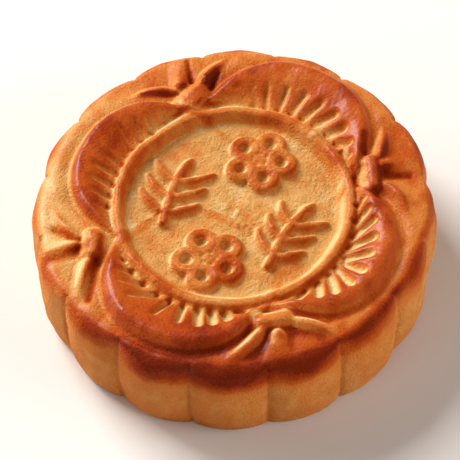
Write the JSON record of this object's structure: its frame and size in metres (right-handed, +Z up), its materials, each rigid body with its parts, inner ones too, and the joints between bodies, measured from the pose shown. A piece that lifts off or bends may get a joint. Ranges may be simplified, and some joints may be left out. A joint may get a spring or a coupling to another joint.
{
  "type": "mooncake",
  "caption": "Round baked mooncake with a fluted side and a moulded top: a sunken disc in a raised ring, combed petals, knots with leaves, and small blossom and sprig reliefs.",
  "frame": {"origin": "middle of the underside, where the cake rests", "axes": "+Z up out of the moulded top, +Y towards one petal of the border and +X towards the next petal clockwise from above"},
  "size_m": [0.0652, 0.0666, 0.0194],
  "materials": {
    "crust": "baked dough crust, egg-washed: glossy brown on the raised relief and shoulder, matte golden in the hollows and on the side"
  },
  "bodies": {
    "root": {"mooncake": "crust"}
  },
  "joints": []
}
